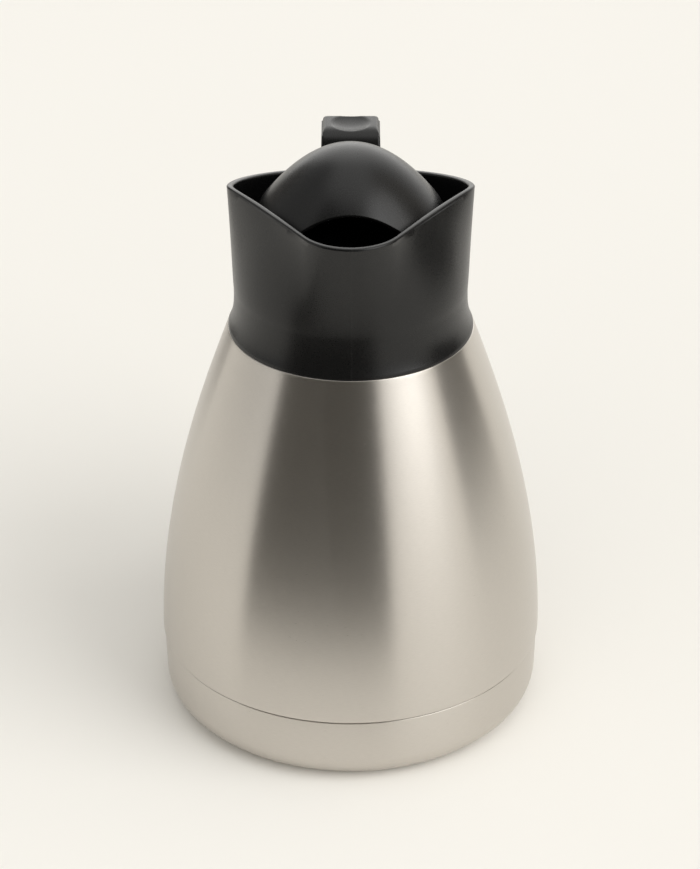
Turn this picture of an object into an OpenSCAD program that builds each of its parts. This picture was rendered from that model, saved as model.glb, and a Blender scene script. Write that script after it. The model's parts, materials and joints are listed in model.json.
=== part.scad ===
// Thermal carafe with a flip lid: a double-walled steel flask under a black pouring collar,
// with a hinged hood and stopper that a thumb lever lifts, and a rear grip.
// Origin: centre of the foot on the table. +Z is up, the spout points to -Y, the grip to +Y.

/* [Steel body] */
// Outer diameter of the body just above the base seam
body_d = 142.8; // [132:0.2:156]
// Height of the shoulder ledge that carries the collar
shoulder_h = 154; // [145:1:168]
// Slope of the shoulder, in degrees from the vertical
shoulder_slope = 19; // [15:0.5:23]
// Thickness of the steel sheet
sheet = 0.6; // [0.5:0.05:0.8]
// Space between the two walls of the body
vacuum_gap = 6; // [5:0.25:8]
// Height of the flask's floor above the table
flask_floor_h = 20; // [18.5:0.5:26]
// Radius of the flask's bottom corner
flask_corner_r = 14; // [10:0.5:18]

/* [Base] */
// Height of the seam between the base cup and the body
seam_h = 27; // [24:0.5:32]
// Width of the open seam
seam_gap = 0.5; // [0.3:0.1:0.8]
// How far the base cup is set in from the body
cup_inset = 0.5; // [0.2:0.1:1]
// How much the radius of the base cup shrinks towards its foot
cup_taper = 0.4; // [0.1:0.1:0.8]
// Radius of the base cup's bottom edge
cup_corner_r = 10.5; // [8:0.5:11]
// Diameter of the non-slip pad under the base
pad_d = 96; // [80:1:110]
// Thickness of the pad
pad_t = 1.5; // [1.2:0.1:2.5]
// How far the pad stands below the steel
pad_proud = 0.5; // [0.2:0.1:0.8]
// Height of the plate that closes the vacuum
vacuum_base_h = 14; // [12.5:0.5:15]
// Thickness of that plate
vacuum_base_t = 0.8; // [0.6:0.1:1.2]

/* [Neck] */
// Outer diameter of the steel neck inside the collar
neck_d = 74; // [72:0.25:75.5]
// Height of the neck above the shoulder ledge
neck_h = 18.5; // [16:0.5:22]
// Space between the two walls of the neck
neck_gap = 1.8; // [1.2:0.1:2.4]
// Thickness of the neck gasket
neck_gasket_t = 1.5; // [1:0.1:2.5]

/* [Collar] */
// Height of the rim above the shoulder ledge, at the sides
collar_h = 53.5; // [50:0.5:58]
// Wall thickness of the collar
collar_wall = 2.4; // [2:0.1:2.8]
// Space and wall between the throat ring's sleeve and the outside of the waist
waist_cover = 2.85; // [2.7:0.05:4]
// How far the skirt, and the steel shoulder below it, stand out from the waist
skirt_out = 2.5; // [1.5:0.1:4]
// Height of the waist above the shoulder ledge
waist_h = 15; // [12:0.5:18]
// How far the rim flares out from the waist
rim_flare = 2.7; // [1.8:0.1:3.4]
// How far the tip of the spout stands out from the rim
spout_out = 5.8; // [3:0.1:11]
// How far the flat flanks of the spout are drawn in from the rim
flank_in = 8.1; // [5.6:0.1:8.6]
// Direction of the flank, in degrees from the spout
flank_angle = 56.5; // [52:0.5:60]
// Fall of the rear rim, in degrees
rim_fall = 16; // [10:0.5:20]
// How far the throat is drawn in from the flask's mouth
throat_cover = 1.5; // [1:0.1:2.5]
// Height of the throat above the neck gasket
throat_h = 6.6; // [5:0.2:8]

/* [Lid] */
// How far the lid plate is drawn in from the throat
plate_inset = 0.5; // [0.3:0.1:1.5]
// Height of the domed part of the hood
dome_h = 24.5; // [20:0.5:28]
// Height of the hood's upright skirt above the lid plate
hood_skirt_h = 9.1; // [7:0.1:12]
// Wall thickness of the hood
hood_wall = 2; // [1.6:0.1:2.6]
// Distance from the axis to the sliced front of the hood
hood_mouth_y = 26; // [22:0.5:28]
// Thickness of the lid plate
plate_t = 3; // [2.5:0.1:4]
// Depth of the stopper below the lid plate
stopper_h = 16.5; // [12:0.5:18]
// How much the radius of the stopper shrinks towards its underside
stopper_draft = 5.5; // [4.5:0.25:8]
// Wall thickness of the stopper
stopper_wall = 1.6; // [1.2:0.1:2]
// Height of the stopper gasket
stopper_gasket_h = 3.4; // [2.6:0.2:4]
// Gap between the gasket and its seat as modelled
seal_gap = 0.3; // [0.2:0.05:0.5]

/* [Hinge and lever] */
// Distance from the rim to the hinge pin
hinge_out = 3.3; // [3:0.1:6]
// Diameter of the hinge pin
pin_d = 3; // [2.4:0.1:4]
// Radial running clearance round the pin
pin_gap = 0.05; // [0.03:0.01:0.08]
// Diameter of the lid's hub
hub_d = 9; // [8:0.25:9.5]
// Width of the lid's hub and arm
hub_w = 15; // [12:0.5:16]
// Gap at each side of the hub
hub_gap = 0.5; // [0.3:0.1:0.8]
// Width of the thumb tab
tab_w = 22.4; // [20:0.2:26]
// Height of the thumb tab above the pin
tab_h = 18; // [16:0.5:22]
// Reach of the thumb tab behind the pin
tab_reach = 14.5; // [12:0.5:16]
// Thickness of the thumb tab at its rear
tab_t = 3; // [2.5:0.25:4]
// Width of the thumb dish
dish_w = 15.5; // [12:0.5:17]
// Depth of the thumb dish
dish_depth = 1.8; // [1:0.1:2.2]

/* [Handle] */
// Width of the handle
handle_w = 22; // [20:0.5:26]
// Thickness of the handle
handle_t = 13; // [12:0.5:15]
// Wall thickness of the handle
handle_wall = 2.5; // [2:0.1:3]
// Room for the fingers behind the widest part of the body
finger_gap = 26; // [22:1:34]
// Height of the handle's lower end
handle_low_h = 65; // [58:1:72]
// Bend radius at the top of the grip
bend_top_r = 24; // [20:1:26]
// Bend radius at the bottom of the grip
bend_low_r = 22; // [16:1:24]
// Drop from the hinge pin to the top of the handle
handle_drop = 10.5; // [10:0.25:13]
// Width of the tongues that carry the handle
tongue_w = 12; // [10:0.5:13]
// Thickness of those tongues
tongue_t = 7; // [6:0.25:7.5]

/* [Screws] */
// Diameter of the screws
screw_d = 3; // [2.5:0.1:3.5]
// Diameter of the screw heads
screw_head_d = 5.4; // [5:0.1:6]
// Height of the screw heads
screw_head_h = 1.8; // [1.4:0.1:2.2]

/* [Hidden] */
$fn = 96;

STEEL = [0.72, 0.69, 0.65];
BARE_STEEL = [0.62, 0.62, 0.62];
BLACK = [0.10, 0.10, 0.10];
RUBBER = [0.16, 0.16, 0.17];
FOIL = [0.80, 0.58, 0.42];
FOAM = [0.93, 0.90, 0.82];

eps = 0.01;
curve_steps = 24;
flask_steps = 10;
corner_steps = 8;
dome_steps = 16;

// Radii of the steel body
body_r = body_d / 2;
neck_r = neck_d / 2;
sleeve_gap = 0.15;
sleeve_r = neck_r + sleeve_gap;
sleeve_t = 2;
ring_sleeve_r = sleeve_r + sleeve_t;
waist_r = ring_sleeve_r + waist_cover;
rim_r = waist_r + rim_flare;
shoulder_r = waist_r + skirt_out;
neck_bore_r = neck_r - sheet;
flask_neck_r = neck_bore_r - neck_gap;
mouth_r = flask_neck_r - sheet;
cup_r = body_r - cup_inset;
cup_foot_r = cup_r - cup_taper;
flange_r = cup_foot_r - sheet;
flange_low = cup_corner_r + 2;
flask_r = body_r - sheet - vacuum_gap;

// Small pieces in the vacuum
foil_t = 0.2;
vacuum_rim_h = 4;
plug_r = 1.5;
bead_r = 4;
bead_t = 1.2;
getter_r = 6;
getter_t = 2;
getter_offset = 22;

// Heights, from the table upwards
shell_low = seam_h + seam_gap;
flask_shoulder_h = 28;
flask_neck_drop = 8;
flask_shoulder_z = shoulder_h - flask_shoulder_h;
flask_neck_z = shoulder_h - flask_neck_drop;
lip_z = shoulder_h + neck_h;
shelf_z = lip_z + neck_gasket_t;
seat_z = shelf_z + throat_h;
gasket_lift = 0.2;
gasket_z = seat_z + gasket_lift;
stopper_flange_t = 2.3;
plate_z = gasket_z + stopper_gasket_h + stopper_flange_t;
hood_z = plate_z + plate_t;
hinge_lift = 0.5;
hinge_z = hood_z + hinge_lift;
rim_z = shoulder_h + collar_h;

// Collar
throat_r = mouth_r - throat_cover;
spout_reach = rim_r + spout_out;
flank_reach = rim_r - flank_in;
sleeve_lift = 3;
skirt_power = 3;
relief_z = shoulder_h + waist_h - 6;
floor_top_z = seat_z + rim_r - throat_r;
floor_rings = 8;
spout_start = waist_h + 1;
spout_power = 1.6;
rim_bevel = 0.7;
rim_blend = 6;
corner_power = 24;
collar_turns = 72;
collar_rings = 14;
bowl_rings = 5;

// Spout tip: the arc that touches both flanks and reaches the tip
tip_r = (flank_reach - spout_reach * cos(flank_angle)) / (1 - cos(flank_angle));
tip_y = spout_reach - tip_r;
tip_angle = atan2(tip_r * sin(flank_angle), tip_y + tip_r * cos(flank_angle));

// Lid
plate_r = throat_r - plate_inset;
hood_r = plate_r + hood_wall;
arm_h = plate_t + 4;
arm_z = plate_z;
arm_gap = 0.25;
arm_overlap = 8;
gasket_bore_r = throat_r - 2.9;
stopper_flange_r = plate_r - 0.4;
stopper_shoulder_r = throat_r - 1.5;
stopper_tip_r = throat_r - stopper_draft;
boss_r = 3.4;
boss_margin = 10;
boss_circle_r = stopper_tip_r - boss_margin;
boss_count = 3;
foam_gap = 0.3;
lid_screw_l = 10;
tab_corner_r = 2.2;
tab_taper = 0.4;
tab_front_r = 8;
tab_front_y = 3;
tab_rear_r = 1.2;
tab_low = 6.2;
stem_rear_y = 4.5;
dish_r = (pow(dish_w / 2, 2) + pow(dish_depth, 2)) / (2 * dish_depth);
hinge_y = rim_r + hinge_out;
dish_y = hinge_y + 7.5;

// Hinge
ear_r = hub_d / 2 + 0.5;
pin_r = pin_d / 2;
pin_inset = 0.3;
notch_gap = 0.7;
notch_half = hub_w / 2 + notch_gap;
notch_root_y = throat_r + 3.5;
notch_z = hinge_z - ear_r - hub_gap;

// Handle
handle_top = hinge_z - handle_drop;
arm_top_z = handle_top - handle_t / 2;
grip_y = body_r + finger_gap + handle_t / 2;
bend_top_y = grip_y - bend_top_r;
bend_top_z = arm_top_z - bend_top_r;
bend_low_y = grip_y - bend_low_r;
bend_low_z = handle_low_h + bend_low_r;
handle_corner_r = 4;
cover_t = 2.2;
cover_ledge = 1.8;
cover_in = handle_w / 2 - handle_wall + 0.3;
head_reach = 11;
head_rear_y = hinge_y + head_reach;
head_root_y = waist_r - 4;
collar_clear = 0.4;
tongue_clear = 0.1;
tongue_z = arm_top_z - tongue_t / 2;
tongue_root_y = waist_r - 1.5;
tongue_end_y = head_rear_y - 2.5;
low_end_y = bend_low_y;
shell_clear = 0.5;
bracket_root_y = body_r - 10;
bracket_end_y = low_end_y - 2;
bracket_z = handle_low_h - tongue_t / 2;
screw_margin = 3.1;
screw_pitch = 5.5;
upper_screw_y = [tongue_end_y - screw_margin - screw_pitch, tongue_end_y - screw_margin];
lower_screw_y = bracket_end_y - screw_margin;
screw_grip = 6;
screw_seat = 1;
screw_play = 0.3;

// A circular arc of steps + 1 points about (x, y), from angle a to angle b
function arc(x, y, r, a, b, steps = corner_steps) =
    [for (i = [0:steps]) let (t = a + (b - a) * i / steps) [x + r * cos(t), y + r * sin(t)]];

// A point and the direction of a cubic curve p at t
function cubic(p, t) =
    pow(1 - t, 3) * p[0] + 3 * pow(1 - t, 2) * t * p[1] + 3 * (1 - t) * t * t * p[2] + pow(t, 3) * p[3];
function cubic_run(p, t) =
    pow(1 - t, 2) * (p[1] - p[0]) + 2 * (1 - t) * t * (p[2] - p[1]) + t * t * (p[3] - p[2]);
// The same point, moved towards the axis by d, square to the curve
function cubic_in(p, t, d) = let (v = cubic_run(p, t)) cubic(p, t) + d * [-v[1], v[0]] / norm(v);
function curve(p, d = 0, steps = curve_steps) = [for (i = [0:steps]) cubic_in(p, i / steps, d)];
function flask_side(p, d = 0) = curve(p, d, flask_steps);
function reversed(list) = [for (i = [len(list) - 1:-1:0]) list[i]];
function inner_steps(list) = [for (i = [1:len(list) - 2]) list[i]];

// The body's outline is upright at the seam and leans in by the slope at the shoulder
body_rise = 0.45 * (shoulder_h - shell_low);
body_lean = 0.14 * (shoulder_h - shell_low);
body_curve = [
    [body_r, shell_low], [body_r, shell_low + body_rise],
    [shoulder_r + tan(shoulder_slope) * body_lean, shoulder_h - body_lean], [shoulder_r, shoulder_h]
];
// The flask follows it inside, then draws in to its neck
flask_wall_z = flask_floor_h + flask_corner_r;
flask_inset = (vacuum_gap + 2 * sheet) / cos(shoulder_slope);
flask_shoulder_r = shoulder_r + tan(shoulder_slope) * flask_shoulder_h - flask_inset;
flask_rise = 0.45 * (flask_shoulder_z - flask_wall_z);
flask_lean = 0.2 * (flask_shoulder_z - flask_wall_z);
flask_curve = [
    [flask_r, flask_wall_z], [flask_r, flask_wall_z + flask_rise],
    [flask_shoulder_r + tan(shoulder_slope) * flask_lean, flask_shoulder_z - flask_lean],
    [flask_shoulder_r, flask_shoulder_z]
];
neck_lean = 0.5 * (flask_neck_z - flask_shoulder_z);
flask_shoulder = [
    [flask_shoulder_r, flask_shoulder_z],
    [flask_shoulder_r - tan(shoulder_slope) * neck_lean, flask_shoulder_z + neck_lean],
    [flask_neck_r, flask_neck_z - neck_lean], [flask_neck_r, flask_neck_z]
];

// Collar: plan radius of the rim at an angle from the spout
function flank(a) = flank_reach / cos(a - flank_angle);
function tip(a) = tip_y * cos(a) + sqrt(pow(tip_r, 2) - pow(tip_y * sin(a), 2));
function rim_plan(a) =
    a < tip_angle ? tip(a)
    : a < flank_angle ? flank(a)
    : a > flank_angle + 80 ? rim_r
    : pow(pow(rim_r, -corner_power) + pow(flank(a), -corner_power), -1 / corner_power);
// Round part of the collar: a curved skirt, a waist and a light flare
function collar_round(h) =
    waist_r + (shoulder_r - waist_r) * pow(max(0, waist_h - h) / waist_h, skirt_power)
    + (rim_r - waist_r) * max(0, h - waist_h) / (collar_h - waist_h);
function spout_share(h) = pow(max(0, h - spout_start) / (collar_h - spout_start), spout_power);
function collar_out(a, z) =
    let (h = z - shoulder_h) collar_round(h) + spout_share(h) * (rim_plan(a) - rim_r);
function collar_in(a, z) = collar_out(a, z) - collar_wall;
// Height of the rim at a distance y behind the axis
function rim_height(y) = rim_z + 0.8 - tan(rim_fall) * (y + sqrt(y * y + rim_blend * rim_blend)) / 2;

// Angle of a collar section from the spout, from -180 to 180
function angle_from_spout(j) = let (a = 360 * j / collar_turns) a > 180 ? a - 360 : a;

// Inside of the collar's wall down to the relief, shared with the throat ring that is welded into it
function wall_inside(a) = [for (i = [0:floor_rings])
    let (z = floor_top_z + (relief_z - floor_top_z) * i / floor_rings) [collar_in(a, z), z]];

// Section of the collar at an angle from the spout, as radius and height
function collar_section(a) =
    let (top = rim_height(-rim_r * cos(a)), low = top - rim_bevel)
    concat(
        [for (i = [0:collar_rings])
            let (z = shoulder_h + (low - shoulder_h) * i / collar_rings) [collar_out(a, z), z]],
        [[collar_out(a, top) - rim_bevel, top], [collar_in(a, top) + rim_bevel, top]],
        [for (i = [0:bowl_rings - 1])
            let (z = low + (floor_top_z - low) * i / bowl_rings) [collar_in(a, z), z]],
        wall_inside(a),
        [[collar_in(a, shoulder_h + 4.5), shoulder_h + 4.5], [shoulder_r - collar_wall, shoulder_h]]
    );

// Section of the throat ring, still without its bores and its cone
function ring_section(a) =
    concat(wall_inside(a), [[throat_r - 1, relief_z], [throat_r - 1, floor_top_z]]);

// A closed ring whose section changes with the angle; inward says that its sections run downwards outside
module swept_ring(sections, inward = false) {
    turns = len(sections);
    per = len(sections[0]);
    points = [for (j = [0:turns - 1]) for (p = sections[j])
        let (a = 360 * j / turns) [p[0] * sin(a), -p[0] * cos(a), p[1]]];
    faces = [for (j = [0:turns - 1]) for (i = [0:per - 1])
        let (n = (j + 1) % turns, k = (i + 1) % per,
             p = j * per + i, q = j * per + k, r = n * per + k, s = n * per + i)
        each inward ? [[p, r, q], [p, s, r]] : [[p, q, r], [p, r, s]]];
    polyhedron(points, faces);
}

// Turns a profile of radius and height about the axis
module turned(points) {
    rotate_extrude() polygon(points);
}

// Moves a drawing's x, y and z onto Y, Z and X, for shapes drawn from the side
module from_side() {
    rotate([90, 0, 90]) children();
}

// Half of a drawing's width to each side of the middle plane
module side_slab(width) {
    from_side() translate([0, 0, -width / 2]) linear_extrude(width) children();
}

module block(x, y, z) {
    translate([x[0], y[0], z[0]]) cube([x[1] - x[0], y[1] - y[0], z[1] - z[0]]);
}

// Steel body

module outer_shell() {
    ledge_r = shoulder_r + tan(shoulder_slope) * sheet - sheet / cos(shoulder_slope);
    color(STEEL) turned(concat(
        [[flange_r, flange_low], [flange_r, shell_low]],
        curve(body_curve),
        [[neck_r, shoulder_h], [neck_r, lip_z], [neck_bore_r, lip_z], [neck_bore_r, shoulder_h - sheet],
         [ledge_r, shoulder_h - sheet]],
        reversed(inner_steps(curve(body_curve, sheet))),
        [[body_r - sheet, shell_low + sheet], [flange_r - sheet, shell_low + sheet],
         [flange_r - sheet, flange_low]]
    ));
}

module inner_flask() {
    color(BARE_STEEL) turned(concat(flask_side(flask_curve), reversed(flask_side(flask_curve, sheet))));
}

// Shoulder and neck of the flask, welded to its wall edge to edge and to the outer neck at the lip
module flask_neck() {
    color(BARE_STEEL) turned(concat(
        flask_side(flask_shoulder),
        [[flask_neck_r, lip_z - sheet], [neck_bore_r, lip_z - sheet], [neck_bore_r, lip_z], [mouth_r, lip_z]],
        reversed(flask_side(flask_shoulder, sheet))
    ));
}

// Dished floor of the flask, welded to its wall edge to edge
module flask_bottom() {
    dish_x = flask_r - flask_corner_r;
    color(BARE_STEEL) turned(concat(
        [[0, flask_floor_h]], arc(dish_x, flask_wall_z, flask_corner_r, -90, 0),
        arc(dish_x, flask_wall_z, flask_corner_r - sheet, 0, -90), [[0, flask_floor_h + sheet]]
    ));
}

// Thin metal wrap on the flask, inside the vacuum
module reflector_foil() {
    color(FOIL) turned(concat(flask_side(flask_curve), reversed(flask_side(flask_curve, -foil_t))));
}

module vacuum_base() {
    rim_out = flange_r - sheet;
    rim_in = rim_out - vacuum_base_t;
    rim_top = vacuum_base_h + vacuum_rim_h;
    floor_top = vacuum_base_h + vacuum_base_t;
    color(BARE_STEEL) turned([
        [plug_r, vacuum_base_h], [rim_out, vacuum_base_h], [rim_out, rim_top], [rim_in, rim_top],
        [rim_in, floor_top], [plug_r, floor_top]
    ]);
}

// Bead that seals the hole through which the air was drawn out
module vacuum_plug() {
    color(BARE_STEEL) turned([
        [0, vacuum_base_h - bead_t], [bead_r - 1, vacuum_base_h - bead_t], [bead_r, vacuum_base_h],
        [plug_r, vacuum_base_h], [plug_r, vacuum_base_h + vacuum_base_t], [0, vacuum_base_h + vacuum_base_t]
    ]);
}

module getter() {
    color(BARE_STEEL) translate([getter_offset, 0, vacuum_base_h + vacuum_base_t])
        cylinder(r = getter_r, h = getter_t);
}

module base_cup() {
    pad_r = pad_d / 2;
    color(STEEL) turned(concat(
        [[0, pad_t], [pad_r, pad_t], [pad_r, pad_proud]],
        arc(cup_foot_r - cup_corner_r, pad_proud + cup_corner_r, cup_corner_r, -90, 0),
        [[cup_r, seam_h], [cup_r - sheet, seam_h]],
        arc(cup_foot_r - cup_corner_r, pad_proud + cup_corner_r, cup_corner_r - sheet, 0, -90),
        [[pad_r + 2 * sheet, pad_proud + sheet], [pad_r + sheet, pad_t + sheet], [0, pad_t + sheet]]
    ));
}

module foot_pad() {
    color(RUBBER) cylinder(d = pad_d, h = pad_t);
}

// Collar and neck

// Gap in the rear of the rim for the lid's arm and hub
module rear_notch() {
    block([-notch_half, notch_half], [notch_root_y, hinge_y], [notch_z, rim_z]);
}

module collar() {
    color(BLACK) difference() {
        union() {
            swept_ring([for (j = [0:collar_turns - 1]) collar_section(abs(angle_from_spout(j)))]);
            tongue([tongue_root_y, tongue_end_y], tongue_z);
        }
        rear_notch();
        for (y = upper_screw_y) pilot_bore(y, tongue_z);
    }
}

// Floor of the pouring bowl with the gasket's seat, and a sleeve round the steel neck
module throat_ring() {
    sleeve_low = shoulder_h + sleeve_lift;
    reach = floor_top_z - seat_z + 1;
    color(BLACK) difference() {
        union() {
            swept_ring([for (j = [0:collar_turns - 1]) ring_section(abs(angle_from_spout(j)))], true);
            translate([0, 0, sleeve_low]) cylinder(r = ring_sleeve_r, h = shelf_z - sleeve_low);
        }
        translate([0, 0, sleeve_low - 1]) cylinder(r = sleeve_r, h = shelf_z - sleeve_low + 1);
        cylinder(r = throat_r, h = rim_z);
        turned([[0, seat_z], [throat_r, seat_z], [throat_r + reach, seat_z + reach], [0, seat_z + reach]]);
        rear_notch();
    }
}

module neck_gasket() {
    edge = 0.2;
    color(RUBBER) turned([
        [mouth_r + edge, lip_z], [neck_r - edge, lip_z], [neck_r - edge, shelf_z], [mouth_r + edge, shelf_z]
    ]);
}

// Handle

// Outline with rounded corners, x across the handle's thickness and y across its width
function handle_outline() =
    let (x = handle_t / 2 - handle_corner_r, y = handle_w / 2 - handle_corner_r, r = handle_corner_r)
    concat(arc(x, y, r, 0, 90), arc(-x, y, r, 90, 180), arc(-x, -y, r, 180, 270), arc(x, -y, r, 270, 360));

// Channel that opens towards the body, with a ledge for the cover
module channel_section() {
    cavity = cover_in - cover_ledge;
    difference() {
        polygon(handle_outline());
        translate([-handle_t, -cavity]) square([handle_t * 1.5 - handle_wall, 2 * cavity]);
        translate([-handle_t, -cover_in]) square([handle_t / 2 + cover_t, 2 * cover_in]);
    }
}

module cover_section() {
    translate([-handle_t / 2, -cover_in]) square([cover_t, 2 * cover_in]);
}

// Runs a section along the grip, from the head round both bends to the lower end
module along_grip() {
    multmatrix([[0, 1, 0, 0], [0, 0, 1, head_rear_y], [1, 0, 0, arm_top_z], [0, 0, 0, 1]])
        linear_extrude(bend_top_y - head_rear_y) children();
    translate([0, bend_top_y, bend_top_z]) from_side()
        rotate_extrude(angle = 90) translate([bend_top_r, 0]) children();
    translate([0, grip_y, bend_low_z]) rotate([0, 0, 90]) linear_extrude(bend_top_z - bend_low_z) children();
    translate([0, bend_low_y, bend_low_z]) from_side()
        rotate([0, 0, -90]) rotate_extrude(angle = 90) translate([bend_low_r, 0]) children();
}

// Solid stretch of handle along Y, with the handle's rounded section
module solid_arm(y, z) {
    multmatrix([[0, 1, 0, 0], [0, 0, 1, y[0]], [1, 0, 0, z], [0, 0, 0, 1]])
        linear_extrude(y[1] - y[0]) polygon(handle_outline());
}

// Cylinder along the hinge's axis
module along_pin(r, length) {
    translate([0, hinge_y, hinge_z]) rotate([0, 90, 0]) cylinder(r = r, h = length, center = true);
}

// Block that the two ears for the hinge pin are cut from
module ear() {
    side_slab(handle_w) {
        translate([hinge_y, hinge_z]) circle(ear_r);
        polygon([
            [hinge_y - ear_r, hinge_z], [hinge_y + ear_r, hinge_z],
            [hinge_y + ear_r + 2, arm_top_z], [hinge_y - ear_r, arm_top_z]
        ]);
    }
}

module handle_shell() {
    half_gap = hub_w / 2 + hub_gap;
    color(BLACK) difference() {
        union() {
            along_grip() channel_section();
            solid_arm([head_root_y, head_rear_y], arm_top_z);
            solid_arm([bracket_root_y, low_end_y], handle_low_h);
            ear();
        }
        cylinder(r = rim_r + collar_clear, h = rim_z * 2);
        turned(concat([[0, 0], [body_r, 0]], curve(body_curve, -shell_clear), [[0, shoulder_h]]));
        block([-half_gap, half_gap], [head_root_y, head_rear_y + ear_r], [handle_top, rim_z]);
        tongue_socket([head_root_y, tongue_end_y + tongue_clear], tongue_z);
        tongue_socket([bracket_root_y, bracket_end_y + tongue_clear], bracket_z);
        for (y = upper_screw_y) screw_bore(y, tongue_z);
        screw_bore(lower_screw_y, bracket_z);
        along_pin(pin_r, handle_w * 2);
    }
}

// Slot that a tongue slides into
module tongue_socket(y, z) {
    half = tongue_w / 2 + tongue_clear;
    block([-half, half], y, [z, z + tongue_t]);
}

// Clearance hole from below, with a pocket that hides the head
module screw_bore(y, z) {
    seat = z - screw_seat;
    translate([0, y, seat - handle_t]) cylinder(d = screw_head_d + 2 * screw_play, h = handle_t);
    translate([0, y, seat - 1]) cylinder(d = screw_d + screw_play, h = screw_seat + 2);
}

// Flat tongue that carries one end of the handle
module tongue(y, z) {
    block([-tongue_w / 2, tongue_w / 2], y, [z, z + tongue_t]);
}

// Hole in a tongue, of the screw's own diameter, which stands in for its thread
module pilot_bore(y, z) {
    translate([0, y, z - 1]) cylinder(d = screw_d, h = screw_grip + 1);
}

module handle_cover() {
    color(BLACK) along_grip() cover_section();
}

// Steel tab welded to the body, which the lower end slides onto
module handle_bracket() {
    color(BARE_STEEL) difference() {
        tongue([bracket_root_y, bracket_end_y], bracket_z);
        turned(concat([[0, 0], [body_r, 0]], curve(body_curve), [[0, shoulder_h]]));
        pilot_bore(lower_screw_y, bracket_z);
    }
}

// A pan-head screw that points up from its seat
module screw(length) {
    translate([0, 0, -screw_head_h]) cylinder(d = screw_head_d, h = screw_head_h);
    cylinder(d = screw_d, h = length);
}

module handle_screws() {
    color(BARE_STEEL) {
        for (y = upper_screw_y) translate([0, y, tongue_z - screw_seat]) screw(screw_seat + screw_grip - 1);
        translate([0, lower_screw_y, bracket_z - screw_seat]) screw(screw_seat + screw_grip - 1);
    }
}

module hinge_pin() {
    color(BARE_STEEL) along_pin(pin_r, handle_w - 2 * pin_inset);
}

// Lid

// Side view of the thumb tab about the hinge pin
function tab_side() = concat(
    [[stem_rear_y, tab_low], [-tab_front_y, tab_low]],
    reversed(arc(tab_front_r - tab_front_y, tab_h - tab_front_r, tab_front_r, 90, 180)),
    arc(tab_reach - tab_rear_r, tab_h - tab_rear_r, tab_rear_r, 90, 0, 4),
    [[tab_reach, tab_h - tab_t], [stem_rear_y + 3, tab_h - tab_t - 1.5], [stem_rear_y, tab_h - tab_t - 4.5]]
);

// Front view of the thumb tab, a little narrower at the top
function tab_front() =
    let (x = tab_w / 2, r = tab_corner_r, top = tab_h)
    concat(
        [[-x, 0], [x, 0]],
        arc(x - tab_taper - r, top - r, r, 0, 90),
        arc(-x + tab_taper + r, top - r, r, 90, 180)
    );

module thumb_tab() {
    translate([0, hinge_y, hinge_z]) intersection() {
        side_slab(tab_w + 1) polygon(tab_side());
        translate([0, tab_reach + 1, 0]) rotate([90, 0, 0])
            linear_extrude(tab_reach + tab_front_y + 2) polygon(tab_front());
    }
}

module lid_lever() {
    stem = [
        [-hub_d / 2, 0], [hub_d / 2, 0], [stem_rear_y, tab_h - tab_t - 4.5],
        [-tab_front_y, tab_h - tab_front_r], [-tab_front_y - 0.5, 3]
    ];
    color(BLACK) difference() {
        union() {
            translate([0, 0, plate_z]) cylinder(r = plate_r, h = plate_t);
            block([-hub_w / 2, hub_w / 2], [plate_r - arm_overlap, hinge_y], [arm_z, arm_z + arm_h]);
            side_slab(hub_w) translate([hinge_y, hinge_z]) {
                circle(hub_d / 2);
                polygon(stem);
            }
            thumb_tab();
        }
        translate([0, dish_y, hinge_z + tab_h + dish_r - dish_depth]) sphere(dish_r);
        along_pin(pin_r + pin_gap, hub_w * 2);
        on_bosses() translate([0, 0, plate_z - 1]) cylinder(d = screw_d + screw_play, h = plate_t + 2);
    }
}

// Places its child at each stopper screw
module on_bosses() {
    for (i = [0:boss_count - 1])
        rotate([0, 0, 360 * i / boss_count - 90]) translate([boss_circle_r, 0, 0]) children();
}

// Half of a dome's outline, from its top out to its edge at radius r and height z
function dome_side(r, z, h) =
    [for (i = [0:dome_steps]) let (x = i / dome_steps) [r * x, z + h * (1 - x * x)]];

module lid_hood() {
    edge_z = hood_z + hood_skirt_h;
    inner_r = hood_r - hood_wall;
    edge_drop = 0.4 * hood_wall;
    low = plate_z + 0.4;
    color(BLACK) difference() {
        turned(concat(
            [[inner_r, low], [hood_r, low]],
            reversed(dome_side(hood_r, edge_z, dome_h)),
            dome_side(inner_r, edge_z - edge_drop, dome_h - hood_wall + edge_drop)
        ));
        block([-hood_r, hood_r], [-hood_r - 1, -hood_mouth_y], [0, rim_z * 2]);
        block([-hub_w / 2 - arm_gap, hub_w / 2 + arm_gap], [0, hood_r + 1], [0, arm_z + arm_h + arm_gap]);
    }
}

module stopper_body() {
    tip_z = plate_z - stopper_h;
    shoulder_z = gasket_z;
    flange_z = gasket_z + stopper_gasket_h;
    color(BLACK) difference() {
        union() {
            turned([
                [0, tip_z], [stopper_tip_r - 1.5, tip_z], [stopper_tip_r, tip_z + 1.5],
                [stopper_shoulder_r, shoulder_z], [gasket_bore_r, shoulder_z], [gasket_bore_r, flange_z],
                [stopper_flange_r, flange_z], [stopper_flange_r, plate_z],
                [gasket_bore_r - stopper_wall, plate_z], [gasket_bore_r - stopper_wall, shoulder_z],
                [stopper_tip_r - stopper_wall, tip_z + stopper_wall], [0, tip_z + stopper_wall]
            ]);
            on_bosses() translate([0, 0, tip_z + stopper_wall / 2])
                cylinder(r = boss_r, h = stopper_h - stopper_wall / 2);
        }
        on_bosses() translate([0, 0, hood_z - lid_screw_l]) cylinder(d = screw_d, h = lid_screw_l);
    }
}

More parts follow.
